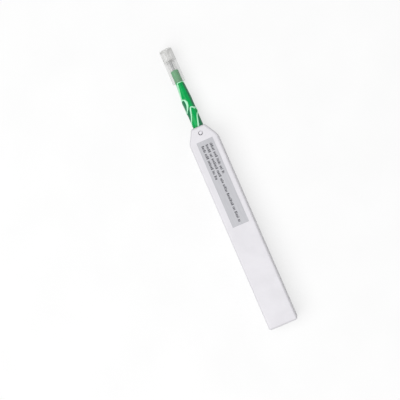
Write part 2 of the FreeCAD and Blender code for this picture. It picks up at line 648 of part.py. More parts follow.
gear = new_body("feed_gear", TAKE_UP_X)
gear_disc = new_sketch(gear, "XY", GEAR_BASE)
circle(gear_disc, "0", "0", cell(f"{PITCH_RADIUS} + gear_module * 0.9"))
circle(gear_disc, "0", "0", cell("post_radius + running_gap"))
feature(gear, "Pad", gear_disc, cell(f"{GEAR_THICK} - 0.01"))
space = new_sketch(gear, "XY", GEAR_BASE)
SPACE_FORM = [(-1.3, 2.9), (-0.663, 3.24), (0, 4.09), (0.5, 5.2), (1.1, 6.8)]
flank = []
for step, angle in SPACE_FORM:
    reach = cell(f"{PITCH_RADIUS} + gear_module * {step}")
    spread = f"( {angle} * 22 / gear_teeth * 1deg + backlash / 2 / {PITCH_RADIUS} * 1rad )"
    flank.append((cell(f"{reach} * sin( {spread} )"), cell(f"{reach} * cos( {spread} )")))
polygon(space, flank + [(f"-{x}", y) for x, y in reversed(flank)])
wheel_pattern(gear, space, cell(f"{GEAR_THICK} + 0.1"), True, cell("gear_teeth"), "gear_spaces")

# ---- tip drive -----------------------------------------------------------------------
barrel = new_body("cam_barrel")
bore = cell("core_radius + running_gap")
turn_profile(barrel, "Revolution", [
    (BEARING_REAR, bore), (BEARING_REAR, CAM_JOURNAL), (CAM_REAR, CAM_JOURNAL),
    (CAM_REAR, cell("cam_radius")), (CAM_FRONT, cell("cam_radius")), (CAM_FRONT, CAM_NECK),
    (CAM_NECK_FRONT, CAM_NECK), (CAM_NECK_FRONT, bore)])
groove_sketch = new_sketch(barrel, "XZ")
END_ROOM = 1.2
GROOVE_HALF = cell("follower_radius * 1.72")
groove_start = cell(f"{FOLLOWER_X} - {END_ROOM}")
box(groove_sketch, cell(f"{groove_start} - {GROOVE_HALF}"),
    cell(f"{groove_start} + {GROOVE_HALF}"), cell("cam_radius - cam_depth"),
    cell("cam_radius + 1"))
cam_groove = barrel.newObject("PartDesign::SubtractiveHelix", "cam_groove")
cam_groove.Profile = groove_sketch
cam_groove.ReferenceAxis = (groove_sketch, ["H_Axis"])
cam_groove.Mode = "pitch-height-angle"
cam_groove.setExpression("Pitch", cell("cam_lead"))
cam_groove.setExpression("Height", cell(f"travel + 2 * {END_ROOM}"))
barrel.Placement.Rotation = FreeCAD.Rotation(FreeCAD.Vector(-1, 0, 0), 1)
barrel.setExpression("Placement.Rotation.Angle", cell(f"{END_ROOM} / cam_lead * 360deg"))

COLLAR_FRONT = cell(f"{BORE_END} - seat_gap")
COLLAR_REAR = cell(f"{COLLAR_FRONT} - 1")
HEAD_REAR = cell(f"{TIP_FRONT} - head_length")
core = new_body("tip_core")
shaft = cell("core_radius")
collar = cell(f"{WIDE_BORE} - 0.3")
head = cell("head_radius")
turn_profile(core, "Revolution", [
    (CORE_REAR, "0"), (CORE_REAR, shaft), (COLLAR_REAR, shaft), (COLLAR_REAR, collar),
    (COLLAR_FRONT, collar), (COLLAR_FRONT, shaft), (HEAD_REAR, shaft), (HEAD_REAR, head),
    (cell(f"{TIP_FRONT} - 0.3"), head), (TIP_FRONT, cell(f"{head} - 0.3")), (TIP_FRONT, "0")])
channels = new_sketch(core, "YZ")
channel_half = cell("thread_width / 2 + running_gap")
channel_floor = cell(f"{ENTRY} - running_gap")
box(channels, channel_floor, "5", f"-{channel_half}", channel_half)
box(channels, "-5", f"-{channel_floor}", f"-{channel_half}", channel_half)
feature(core, "Pocket", channels, cell("case_length * 2"), middle=True)

sleeve = new_body("tip_sleeve")
tube_profile(sleeve, "Revolution", cell(f"{COLLAR_FRONT} + 0.02"), cell(f"{HEAD_REAR} - 0.02"),
             cell("core_radius + 0.02"), cell("sleeve_radius"))

loop = new_body("tip_thread")
loop_sketch = new_sketch(loop, "XY")
edge = cell(f"{ENTRY} + thread_thick - running_gap")
front = cell(f"{TIP_FRONT} + 0.02")
inner_edge = cell(f"{ENTRY} - running_gap")
polygon(loop_sketch, [
    (CORE_REAR, f"-{edge}"), (cell(f"{front} + thread_thick"), f"-{edge}"),
    (cell(f"{front} + thread_thick"), edge), (CORE_REAR, edge), (CORE_REAR, inner_edge),
    (front, inner_edge), (front, f"-{inner_edge}"), (CORE_REAR, f"-{inner_edge}")])
feature(loop, "Pad", loop_sketch, cell("thread_width"), middle=True)

coil("tip_spring", CAM_NECK_FRONT, COLLAR_REAR, cell(f"{WIDE_BORE} - tip_wire / 2 - 0.35"),
     cell("tip_wire"), cell("tip_coils"))

# ---- guide cap -----------------------------------------------------------------------
SOCKET = cell("neck_radius + running_gap")
cap = new_body("guide_cap")
turn_profile(cap, "Revolution", [
    (CAP_REAR, SOCKET), (CAP_REAR, cell("cap_radius + cap_draft")),
    (CAP_FACE, cell("cap_radius")),
    (CAP_FACE, cell("ferrule_bore")), (GUIDE_REAR, cell("ferrule_bore")),
    (GUIDE_REAR, SOCKET)])
HINGE_X = cell(f"{CAP_FACE} - 0.5")
HINGE_Z = cell("0 - cap_radius - 0.85")
KNUCKLE = 0.75
KNUCKLE_INNER, KNUCKLE_OUTER = 0.6, 1.5
LID_KNUCKLE = 0.5
LID_WEB = 0.6


def knuckle(body, low, high, kind="Pad", radius=KNUCKLE):
    """Add or cut a round along the lid's hinge line between two sides."""
    sketch = new_sketch(body, "XZ", cell(f"0 - ( {high} )"))
    circle(sketch, HINGE_X, HINGE_Z, str(radius))
    item = feature(body, kind, sketch, cell(f"( {high} ) - ( {low} )"))
    item.Reversed = kind == "Pocket"
    return item


def web(body, low, high, x_low, x_high, z_high):
    """Join a hinge knuckle to its carrier with a flat web between two sides."""
    sketch = new_sketch(body, "XZ", cell(f"0 - ( {high} )"))
    box(sketch, x_low, x_high, HINGE_Z, z_high)
    return feature(body, "Pad", sketch, cell(f"( {high} ) - ( {low} )"))


inside_cap = cell("0.3 - cap_radius")
for low, high in ((KNUCKLE_INNER, KNUCKLE_OUTER), (-KNUCKLE_OUTER, -KNUCKLE_INNER)):
    knuckle(cap, str(low), str(high))
    web(cap, str(low), str(high), cell(f"{HINGE_X} - {KNUCKLE}"), CAP_FACE, inside_cap)
knuckle(cap, "-2", "2", "Pocket", cell("lid_pin_radius"))

lid = new_body("cap_lid")
lid_rear = cell(f"{CAP_FACE} + 0.02")
turn_profile(lid, "Revolution", [
    (lid_rear, "0"), (lid_rear, cell("cap_radius")),
    (cell(f"{CAP_FRONT} - 0.35"), cell("cap_radius")),
    (cell(f"{CAP_FRONT} - 0.1"), cell("cap_radius - 0.35")), (CAP_FRONT, cell("cap_radius - 1.6")),
    (CAP_FRONT, "0")])
knuckle(lid, str(-LID_KNUCKLE), str(LID_KNUCKLE))
web(lid, str(-LID_KNUCKLE), str(LID_KNUCKLE), lid_rear, cell(f"{lid_rear} + {LID_WEB}"),
    inside_cap)
knuckle(lid, "-1", "1", "Pocket", cell("lid_pin_radius + running_gap"))

pin = new_body("lid_pin")
knuckle(pin, str(-KNUCKLE_OUTER), str(KNUCKLE_OUTER), radius=cell("lid_pin_radius"))

# ---- checks and output ---------------------------------------------------------------
doc.recompute()
faults = [item.Label for item in doc.Objects
          if any(word in state for state in item.State for word in ("Invalid", "Error"))]
if faults:
    raise RuntimeError(f"these objects failed: {faults}")
os.makedirs("parts", exist_ok=True)
for part in sub_parts:
    shape = part.Shape
    if shape.isNull() or not shape.isValid() or shape.Volume <= 0:
        raise RuntimeError(f"{part.Label} has no valid solid")
    shape.exportStep(f"parts/{part.Label}.step")
    print(part.Label, len(shape.Solids), round(shape.Volume, 2))
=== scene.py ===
"""Dress the fibre connector cleaning pen: finishes, label print, studio and camera.

The pen lies on its flat back along X, tip towards +X, label up. Every size is in metres
unless a name ends in _mm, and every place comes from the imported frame.
"""

import json
import logging
import math
from dataclasses import dataclass
from enum import Enum
from typing import Any, Protocol

import bmesh
import bpy
from mathutils import Matrix, Vector


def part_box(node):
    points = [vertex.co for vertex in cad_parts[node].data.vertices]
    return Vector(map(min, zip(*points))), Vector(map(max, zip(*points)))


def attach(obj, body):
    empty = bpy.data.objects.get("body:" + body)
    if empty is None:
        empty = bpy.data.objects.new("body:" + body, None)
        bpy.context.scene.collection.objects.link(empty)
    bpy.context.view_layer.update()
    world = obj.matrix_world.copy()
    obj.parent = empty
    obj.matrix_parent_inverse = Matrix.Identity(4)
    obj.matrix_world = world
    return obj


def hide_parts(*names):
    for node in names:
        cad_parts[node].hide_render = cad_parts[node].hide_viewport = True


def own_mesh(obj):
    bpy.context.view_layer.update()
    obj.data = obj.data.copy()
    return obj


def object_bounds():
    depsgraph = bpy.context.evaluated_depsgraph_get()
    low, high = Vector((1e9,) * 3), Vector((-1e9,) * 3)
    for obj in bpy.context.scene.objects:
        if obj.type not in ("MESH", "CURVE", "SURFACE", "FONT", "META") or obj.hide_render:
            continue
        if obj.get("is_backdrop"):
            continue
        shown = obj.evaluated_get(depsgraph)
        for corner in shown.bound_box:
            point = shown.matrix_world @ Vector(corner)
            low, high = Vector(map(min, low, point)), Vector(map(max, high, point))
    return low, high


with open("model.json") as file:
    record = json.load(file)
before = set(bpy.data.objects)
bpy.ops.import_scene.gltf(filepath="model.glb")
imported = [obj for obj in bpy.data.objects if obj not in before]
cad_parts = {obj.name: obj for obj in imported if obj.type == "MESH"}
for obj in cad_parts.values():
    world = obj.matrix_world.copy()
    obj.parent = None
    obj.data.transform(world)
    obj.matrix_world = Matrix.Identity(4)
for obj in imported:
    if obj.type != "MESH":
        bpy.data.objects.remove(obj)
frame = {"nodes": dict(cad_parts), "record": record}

# Short names for the types that nearly every finish handles.
Tree = bpy.types.NodeTree
Socket = bpy.types.NodeSocket

LOG = logging.getLogger("cleaning_pen")
MM = 0.001
FULL_SPAN = (0.0, 1.0)
# The values between which a cloud pattern holds most of its area.
MIDDLE_SPAN = (0.3, 0.7)
# Where the two colours of a cloud pattern are reached.
CLOUD_STOPS = (0.35, 0.65)


class Finish(Protocol):
    """Any finish that builds its own material."""

    def build(self) -> bpy.types.Material:
        """Build the material."""


class Grain(Enum):
    """The print that the mould's steel leaves, as its size and depth in millimetres.

    Spark erosion leaves pits of about 0.08 mm and stoning leaves lines of about 0.2 mm.
    Both are drawn coarser here, so that they show.
    """

    SPARKED = (0.35, 0.004)
    STONED = (0.7, 0.002)


def linear(hex_colour: str) -> tuple[float, float, float, float]:
    """Turn an sRGB hex colour into linear values for a shader.

    Args:
        hex_colour: Six hex digits, with or without a leading hash.

    Returns:
        Linear red, green, blue and an alpha of 1.
    """
    digits = hex_colour.lstrip("#")
    parts = [int(digits[i:i + 2], 16) / 255 for i in (0, 2, 4)]
    curve = [p / 12.92 if p <= 0.04045 else ((p + 0.055) / 1.055) ** 2.4 for p in parts]
    return curve[0], curve[1], curve[2], 1.0


def per_mm(size_mm: float) -> float:
    """Return the texture scale that gives a pattern of this size in millimetres."""
    return 1.0 / (size_mm * MM)


def add_node(tree: Tree, kind: str, inputs: dict[Any, Any] | None = None,
             **settings: Any) -> bpy.types.Node:
    """Add one shader node with its settings, and set or link its inputs.

    Args:
        tree: The node tree to add to.
        kind: The node's type name.
        inputs: Values or output sockets, by input name or number.
        **settings: Properties set on the node itself.

    Returns:
        The new node.
    """
    node = tree.nodes.new(kind)
    for name, value in settings.items():
        setattr(node, name, value)
    for name, value in (inputs or {}).items():
        if isinstance(value, Socket):
            tree.links.new(value, node.inputs[name])
        else:
            node.inputs[name].default_value = value
    return node


def start_material(name: str) -> tuple[bpy.types.Material, Tree, bpy.types.Node]:
    """Make an empty material with its principled shader.

    Args:
        name: The material's name.

    Returns:
        The material, its node tree and its principled shader.
    """
    material = bpy.data.materials.new(name)
    material.use_nodes = True
    tree = material.node_tree
    tree.nodes.clear()
    shader = add_node(tree, "ShaderNodeBsdfPrincipled")
    output = add_node(tree, "ShaderNodeOutputMaterial")
    tree.links.new(shader.outputs["BSDF"], output.inputs["Surface"])
    return material, tree, shader


def pen_axis() -> float:
    """Return the height of the pen's axis, the middle of the round nozzle."""
    low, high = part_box("nozzle")
    return (low[2] + high[2]) / 2


def mottle(tree: Tree, colours: tuple[str, str], size_mm: float, place: Socket,
           detail: float = 3.0) -> Socket:
    """Blend two close colours in soft clouds.

    Args:
        tree: The node tree.
        colours: The two sRGB hex colours.
        size_mm: The size of the clouds.
        place: The coordinates that the clouds follow.
        detail: How much fine structure the clouds have.

    Returns:
        The colour socket.
    """
    clouds = add_node(tree, "ShaderNodeTexNoise",
                      {"Vector": place, "Scale": per_mm(size_mm), "Detail": detail})
    ramp = add_node(tree, "ShaderNodeValToRGB", {"Fac": clouds.outputs["Fac"]})
    for stop, position, colour in zip(ramp.color_ramp.elements, CLOUD_STOPS, colours):
        stop.position = position
        stop.color = linear(colour)
    return ramp.outputs["Color"]


def break_gloss(tree: Tree, shader: bpy.types.Node, place: Socket, size_mm: float,
                gloss: tuple[float, float], depth_mm: float = 0.0, detail: float = 2.0,
                span: tuple[float, float] = FULL_SPAN) -> Socket:
    """Break a shader's gloss, and its surface if it has relief, with one fine pattern.

    Args:
        tree: The node tree.
        shader: The principled shader.
        place: The coordinates that the pattern follows.
        size_mm: The size of the pattern.
        gloss: The least and the greatest roughness.
        depth_mm: The depth of the relief, or 0 for none.
        detail: How much fine structure the pattern has.
        span: The pattern's values that stand for the least and the greatest roughness.

    Returns:
        The pattern's socket.
    """
    pattern = add_node(tree, "ShaderNodeTexNoise",
                       {"Vector": place, "Scale": per_mm(size_mm), "Detail": detail})
    rough = add_node(tree, "ShaderNodeMapRange",
                     {"Value": pattern.outputs["Fac"], "From Min": span[0],
                      "From Max": span[1], "To Min": gloss[0], "To Max": gloss[1]})
    tree.links.new(rough.outputs["Result"], shader.inputs["Roughness"])
    if depth_mm:
        bump = add_node(tree, "ShaderNodeBump", {"Height": pattern.outputs["Fac"],
                                                 "Distance": depth_mm * MM})
        tree.links.new(bump.outputs["Normal"], shader.inputs["Normal"])
    return pattern.outputs["Fac"]


def join_masks(tree: Tree, masks: list[Socket]) -> Socket:
    """Join masks into one that is as strong as the strongest of them.

    Args:
        tree: The node tree.
        masks: The masks' sockets.

    Returns:
        The joined mask's socket.
    """
    joined = masks[0]
    for mask in masks[1:]:
        joined = add_node(tree, "ShaderNodeMath", {0: joined, 1: mask},
                          operation="MAXIMUM").outputs[0]
    return joined


@dataclass(frozen=True)
class Moulding:
    """An opaque injection-moulded plastic.

    Its grain breaks the gloss into a soft sheen, and faint clouds of colour keep a wide
    face from looking flat. A case's halves meet in a fine dark line.
    """

    name: str
    light: str
    dark: str
    roughness: float = 0.4
    ior: float = 1.5
    gloss_spread: tuple[float, float] = (0.05, 0.06)
    grain: Grain = Grain.SPARKED
    cloud_mm: float = 9.0
    seam_height: float | None = None
    seam_mm: float = 0.14
    seam: str = "#A9A8AD"

    def build(self) -> bpy.types.Material:
        """Build the material: clouds, grain in gloss and relief, and the seam if any.

        Returns:
            The material.
        """
        material, tree, shader = start_material(self.name)
        place = add_node(tree, "ShaderNodeTexCoord").outputs["Object"]
        colour = mottle(tree, (self.dark, self.light), self.cloud_mm, place)
        if self.seam_height is not None:
            colour = self.draw_seam(tree, place, colour)
        tree.links.new(colour, shader.inputs["Base Color"])
        size_mm, depth_mm = self.grain.value
        gloss = (self.roughness - self.gloss_spread[0], self.roughness + self.gloss_spread[1])
        break_gloss(tree, shader, place, size_mm, gloss, depth_mm, detail=4.0,
                    span=MIDDLE_SPAN)
        shader.inputs["IOR"].default_value = self.ior
        return material

    def draw_seam(self, tree: Tree, place: Socket, colour: Socket) -> Socket:
        """Draw the line where the case's halves meet.

        Args:
            tree: The node tree.
            place: The coordinates.
            colour: The plastic's own colour.

        Returns:
            The colour with the line on it.
        """
        split = add_node(tree, "ShaderNodeSeparateXYZ", {"Vector": place})
        line = add_node(tree, "ShaderNodeMath",
                        {0: split.outputs["Z"], 1: self.seam_height, 2: self.seam_mm * MM / 2},
                        operation="COMPARE")
        mix = add_node(tree, "ShaderNodeMix",
                       {0: line.outputs[0], 6: colour, 7: linear(self.seam)}, data_type="RGBA")
        return mix.outputs[2]


@dataclass(frozen=True)
class PetalEdge:
    """A petal's leaning edge, beyond which painted shade darkens the ground.

    Shares are of the grip's length from the case's nose, and angles in degrees from the
    nozzle's top towards -Y, here and in the marks below. The side is 1 or -1.
    """

    angle: float
    slope: float
    shares: tuple[float, float]
    side: float
    blur: float = 2.0

    def mask(self, tree: Tree, share: Socket, angle: Socket) -> Socket:
        """Mark what lies beyond the edge.

        Args:
            tree: The node tree.
            share: The share of the grip's length.
            angle: The angle from the top.

        Returns:
            A socket that is 1 beyond the edge and 0 elsewhere.
        """
        edge = add_node(tree, "ShaderNodeMath", {0: share, 1: self.slope, 2: self.angle},
                        operation="MULTIPLY_ADD")
        past = add_node(tree, "ShaderNodeMath", {0: angle, 1: edge.outputs[0]},
                        operation="SUBTRACT")
        beyond = add_node(tree, "ShaderNodeMath", {0: past.outputs[0], 1: self.side},
                          operation="MULTIPLY")
        soft = add_node(tree, "ShaderNodeMapRange",
                        {"Value": beyond.outputs[0], "From Min": -self.blur,
                         "From Max": self.blur})
        low, high = self.shares
        held = add_node(tree, "ShaderNodeMath",
                        {0: share, 1: (low + high) / 2, 2: (high - low) / 2},
                        operation="COMPARE")
        return add_node(tree, "ShaderNodeMath",
                        {0: soft.outputs["Result"], 1: held.outputs[0]},
                        operation="MULTIPLY").outputs[0]


@dataclass(frozen=True)
class Flank:
    """The painted shade along the neck's right flank, between two shares and two angles."""

    shares: tuple[float, float] = (0.66, 1.5)
    angles: tuple[float, float] = (40.0, 140.0)

    def mask(self, tree: Tree, share: Socket, angle: Socket) -> Socket:
        """Mark the flank.

        Args:
            tree: The node tree.
            share: The share of the grip's length.
            angle: The angle from the top.

        Returns:
            A socket that is 1 on the flank and 0 elsewhere.
        """
        level, around = (
            add_node(tree, "ShaderNodeMath", {0: place, 1: (low + high) / 2,
                                              2: (high - low) / 2}, operation="COMPARE")
            for place, (low, high) in ((share, self.shares), (angle, self.angles)))
        return add_node(tree, "ShaderNodeMath", {0: level.outputs[0], 1: around.outputs[0]},
                        operation="MULTIPLY").outputs[0]


@dataclass(frozen=True)
class Oval:
    """The painted shade inside the leaning oval on the nozzle's left side, within its ring of
    rim.
    """

    share: float = 0.755
    angle: float = -62.0
    half_share: float = 0.234
    half_angle: float = 45.0
    lean: float = 85.0

    def mask(self, tree: Tree, share: Socket, angle: Socket) -> Socket:
        """Mark the inside of the oval.

        Args:
            tree: The node tree.
            share: The share of the grip's length.
            angle: The angle from the top.

        Returns:
            A socket that is 1 inside the oval and 0 elsewhere.
        """
        along = add_node(tree, "ShaderNodeMath", {0: share, 1: self.share},
                         operation="SUBTRACT")
        bend = add_node(tree, "ShaderNodeMath",
                        {0: along.outputs[0], 1: -self.lean, 2: -self.angle},
                        operation="MULTIPLY_ADD")
        across = add_node(tree, "ShaderNodeMath", {0: angle, 1: bend.outputs[0]},
                          operation="ADD")
        spot = add_node(tree, "ShaderNodeCombineXYZ",
                        {"X": along.outputs[0], "Y": across.outputs[0]})
        scaled = add_node(tree, "ShaderNodeVectorMath",
                          {0: spot.outputs[0],
                           1: (1 / self.half_share, 1 / self.half_angle, 0.0)},
                          operation="MULTIPLY")
        radius = add_node(tree, "ShaderNodeVectorMath", {0: scaled.outputs[0]},
                          operation="LENGTH")
        return add_node(tree, "ShaderNodeMath", {0: radius.outputs["Value"], 1: 1.0},
                        operation="LESS_THAN").outputs[0]


@dataclass(frozen=True)
class NeckHighlight:
    """A painted highlight beside the neck's left rim, a soft pale mint strip along its edge.
    """

    shares: tuple[float, float] = (0.98, 1.49)
    angle: float = -118.4
    slope: float = 50.0
    half_angle: float = 20.0
    blur: float = 3.0
    strength: float = 0.85

    def mask(self, tree: Tree, share: Socket, angle: Socket) -> Socket:
        """Mark the painted highlight.

        Args:
            tree: The node tree.
            share: The share of the grip's length.
            angle: The angle from the top.

        Returns:
            A socket with the painted highlight's strength, which falls off softly.
        """
        middle = add_node(tree, "ShaderNodeMath", {0: share, 1: self.slope, 2: self.angle},
                          operation="MULTIPLY_ADD")
        away = add_node(tree, "ShaderNodeMath", {0: angle, 1: middle.outputs[0]},
                        operation="SUBTRACT")
        apart = add_node(tree, "ShaderNodeMath", {0: away.outputs[0]}, operation="ABSOLUTE")
        neck_highlight = add_node(tree, "ShaderNodeMapRange",
                        {"Value": apart.outputs[0], "From Min": self.half_angle + self.blur,
                         "From Max": self.half_angle - self.blur, "To Max": self.strength})
        low, high = self.shares
        held = add_node(tree, "ShaderNodeMath",
                        {0: share, 1: (low + high) / 2, 2: (high - low) / 2},
                        operation="COMPARE")
        return add_node(tree, "ShaderNodeMath",
                        {0: neck_highlight.outputs["Result"], 1: held.outputs[0]},
                        operation="MULTIPLY").outputs[0]


@dataclass(frozen=True)
class Rims:
    """The raised rims, found by how far they stand out from the tapering core."""

    grip_core_mm: float = 3.25
    neck_core_mm: float = 2.4
    taper_mm: float = 9.4
    foot_mm: float = 0.06
    crest_mm: float = 0.15
    flange_mm: float = 0.6

    def mask(self, tree: Tree, place: Socket, taper_start: float) -> Socket:
        """Mark the rims, but not the wide flange inside the case.

        Args:
            tree: The node tree.
            place: The coordinates, measured from the nozzle's axis.
            taper_start: Where the core starts to narrow, along the pen.

        Returns:
            A socket that is 1 on the rims and 0 elsewhere.
        """
        split = add_node(tree, "ShaderNodeSeparateXYZ", {"Vector": place})
        core = add_node(tree, "ShaderNodeMapRange",
                        {"Value": split.outputs["X"], "From Min": taper_start,
                         "From Max": taper_start + self.taper_mm * MM,
                         "To Min": self.grip_core_mm * MM, "To Max": self.neck_core_mm * MM})
        spoke = add_node(tree, "ShaderNodeCombineXYZ",
                         {"Y": split.outputs["Y"], "Z": split.outputs["Z"]})
        radius = add_node(tree, "ShaderNodeVectorMath", {0: spoke.outputs[0]},
                          operation="LENGTH")
        proud = add_node(tree, "ShaderNodeMath",
                         {0: radius.outputs["Value"], 1: core.outputs["Result"]},
                         operation="SUBTRACT").outputs[0]
        raised = add_node(tree, "ShaderNodeMapRange",
                          {"Value": proud, "From Min": self.foot_mm * MM,
                           "From Max": self.crest_mm * MM})
        low = add_node(tree, "ShaderNodeMath", {0: proud, 1: self.flange_mm * MM},
                       operation="LESS_THAN")
        return add_node(tree, "ShaderNodeMath",
                        {0: raised.outputs["Result"], 1: low.outputs[0]},
                        operation="MULTIPLY").outputs[0]


@dataclass(frozen=True)
class RimmedMoulding:
    """The nozzle's clear green plastic, moulded in overlapping petals with raised rims.

    The petals look a clean bright green. Painted shade darkens the ground between them,
    and a painted highlight turns the thin rims pale mint.
    """

    name: str = "polycarbonate_green_moulded"
    light: str = "#00B55C"
    dark: str = "#00A651"
    # Painted shade for the ground between the petals, the right flank and the oval.
    painted_shade: str = "#2C8259"
    # Painted highlight: the pale mint on the rims and on the strip beside the neck's left rim.
    painted_highlight: str = "#BFFFD8"
    gloss: tuple[float, float] = (0.2, 0.34)
    ior: float = 1.58
    specular: float = 0.15
    cloud_mm: float = 5.0
    grip_mm: float = 18.8
    rims: Rims = Rims()
    neck_highlight: NeckHighlight = NeckHighlight()
    # The two petal edges, the flank and the oval where the painted shade goes.
    shade_regions: tuple[PetalEdge | Flank | Oval, ...] = (
        PetalEdge(-86.0, 136.0, (-0.2, 0.68), -1.0), PetalEdge(4.0, 147.0, (-0.2, 0.54), 1.0),
        Flank(), Oval())

    def build(self) -> bpy.types.Material:
        """Build the material: bright petals, painted shade on the ground, painted mint
        highlight on the rims.

        Returns:
            The material.
        """
        material, tree, shader = start_material(self.name)
        place = add_node(tree, "ShaderNodeTexCoord").outputs["Object"]
        centred = add_node(tree, "ShaderNodeVectorMath", {0: place, 1: (0, 0, pen_axis())},
                           operation="SUBTRACT").outputs[0]
        split = add_node(tree, "ShaderNodeSeparateXYZ", {"Vector": centred})
        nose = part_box("upper_case")[1][0]
        grip_end = nose + self.grip_mm * MM
        share = add_node(tree, "ShaderNodeMapRange",
                         {"Value": split.outputs["X"], "From Min": nose,
                          "From Max": grip_end}, clamp=False).outputs["Result"]
        side = add_node(tree, "ShaderNodeMath", {0: split.outputs["Y"], 1: -1.0},
                        operation="MULTIPLY").outputs[0]
        turn = add_node(tree, "ShaderNodeMath", {0: side, 1: split.outputs["Z"]},
                        operation="ARCTAN2").outputs[0]
        angle = add_node(tree, "ShaderNodeMath", {0: turn}, operation="DEGREES").outputs[0]
        petals = mottle(tree, (self.dark, self.light), self.cloud_mm, place)
        # Where the painted shade goes.
        shade_mask = join_masks(tree, [painted_shade.mask(tree, share, angle) for painted_shade in self.shade_regions])
        # Where the painted highlight goes: the rims and the strip beside the neck's left rim.
        proud = join_masks(tree, [self.rims.mask(tree, centred, grip_end),
                                  self.neck_highlight.mask(tree, share, angle)])
        colour = petals
        for mask, over in ((shade_mask, self.painted_shade), (proud, self.painted_highlight)):
            colour = add_node(tree, "ShaderNodeMix", {0: mask, 6: colour, 7: linear(over)},
                              data_type="RGBA").outputs[2]
        tree.links.new(colour, shader.inputs["Base Color"])
        size_mm, depth_mm = Grain.STONED.value
        break_gloss(tree, shader, place, size_mm, self.gloss, depth_mm, detail=3.0)
        shader.inputs["IOR"].default_value = self.ior
        shader.inputs["Specular IOR Level"].default_value = self.specular
        return material


@dataclass(frozen=True)
class Translucent:
    """Moulded translucent polypropylene, a milky veil over what lies inside.

    Where the cap is a thin tube, its walls let the neck and the tip show through softly.
    In the solid guide and lid the milk builds up. Faint flow lines run along the cap.
    """

    name: str = "polypropylene_translucent_moulded"
    light: str = "#D6D6D4"
    dark: str = "#CCCCCA"
    solid: str = "#F0F0EE"
    veil: tuple[float, float] = (0.16, 0.2)
    solid_veil: float = 0.5
    gloss: tuple[float, float] = (0.3, 0.42)
    ior: float = 1.49
    guide_mm: float = 5.6
    guide_blur_mm: float = 1.0
    flow_mm: float = 1.2
    relief_mm: float = 0.004
    stretch: tuple[float, float, float] = (0.15, 1.0, 1.0)

    def build(self) -> bpy.types.Material:
        """Build the material: flow lines in the milk and in the gloss.

        Returns:
            The material.
        """
        material, tree, shader = start_material(self.name)
        place = add_node(tree, "ShaderNodeTexCoord").outputs["Object"]
        drawn = add_node(tree, "ShaderNodeMapping", {"Vector": place, "Scale": self.stretch})
        milk = mottle(tree, (self.dark, self.light), self.flow_mm, drawn.outputs[0])
        split = add_node(tree, "ShaderNodeSeparateXYZ", {"Vector": place})
        guide_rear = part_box("cap_lid")[0][0] - self.guide_mm * MM
        blur = self.guide_blur_mm * MM
        solid = add_node(tree, "ShaderNodeMapRange",
                         {"Value": split.outputs["X"], "From Min": guide_rear - blur,
                          "From Max": guide_rear + blur}).outputs["Result"]
        colour = add_node(tree, "ShaderNodeMix", {0: solid, 6: milk, 7: linear(self.solid)},
                          data_type="RGBA")
        tree.links.new(colour.outputs[2], shader.inputs["Base Color"])
        flow = break_gloss(tree, shader, drawn.outputs[0], self.flow_mm, self.gloss,
                           self.relief_mm)
        veil = add_node(tree, "ShaderNodeMapRange",
                        {"Value": flow, "From Min": MIDDLE_SPAN[0],
                         "From Max": MIDDLE_SPAN[1], "To Min": self.veil[0],
                         "To Max": self.veil[1]})
        alpha = add_node(tree, "ShaderNodeMix",
                         {0: solid, 2: veil.outputs["Result"], 3: self.solid_veil},
                         data_type="FLOAT")
        tree.links.new(alpha.outputs[0], shader.inputs["Alpha"])
        shader.inputs["IOR"].default_value = self.ior
        return material


@dataclass(frozen=True)
class Film:
    """Polyester label film printed silver grey, faintly streaked along its roll.

    It reads as a flat cool grey with a satin shine, set off from the white case. The
    rollers' streaks are about 0.05 mm wide and are drawn coarser, so that they show.
    """

    name: str = "polyester_film_silver_printed"
    light: str = "#CACACF"
    dark: str = "#C3C3C8"
    gloss: tuple[float, float] = (0.34, 0.5)
    cloud_mm: float = 0.5
    streak_mm: float = 0.3
    relief_mm: float = 0.002
    stretch: tuple[float, float, float] = (0.08, 1.0, 1.0)

    def build(self) -> bpy.types.Material:
        """Build the material: fine streaks along the pen in colour and gloss.

        Returns:
            The material.
        """
        material, tree, shader = start_material(self.name)
        place = add_node(tree, "ShaderNodeTexCoord").outputs["Object"]
        drawn = add_node(tree, "ShaderNodeMapping", {"Vector": place, "Scale": self.stretch})
        colour = mottle(tree, (self.dark, self.light), self.cloud_mm, drawn.outputs[0],
                        detail=5.0)
        tree.links.new(colour, shader.inputs["Base Color"])
        break_gloss(tree, shader, drawn.outputs[0], self.streak_mm, self.gloss, self.relief_mm)
        return material


@dataclass(frozen=True)
class Ink:
    """Dark grey screen ink, which lies matt and a little uneven on the film."""

    name: str = "screen_ink_grey"
    light: str = "#69696F"
    dark: str = "#5B5B61"
    gloss: tuple[float, float] = (0.5, 0.7)
    cloud_mm: float = 0.6
    thin_mm: float = 0.3

    def build(self) -> bpy.types.Material:
        """Build the material: lighter clouds where the ink lies thinner.

        Returns:
            The material.
        """
        material, tree, shader = start_material(self.name)
        place = add_node(tree, "ShaderNodeTexCoord").outputs["Object"]
        colour = mottle(tree, (self.dark, self.light), self.cloud_mm, place, detail=4.0)
        tree.links.new(colour, shader.inputs["Base Color"])
        break_gloss(tree, shader, place, self.thin_mm, self.gloss)
        return material


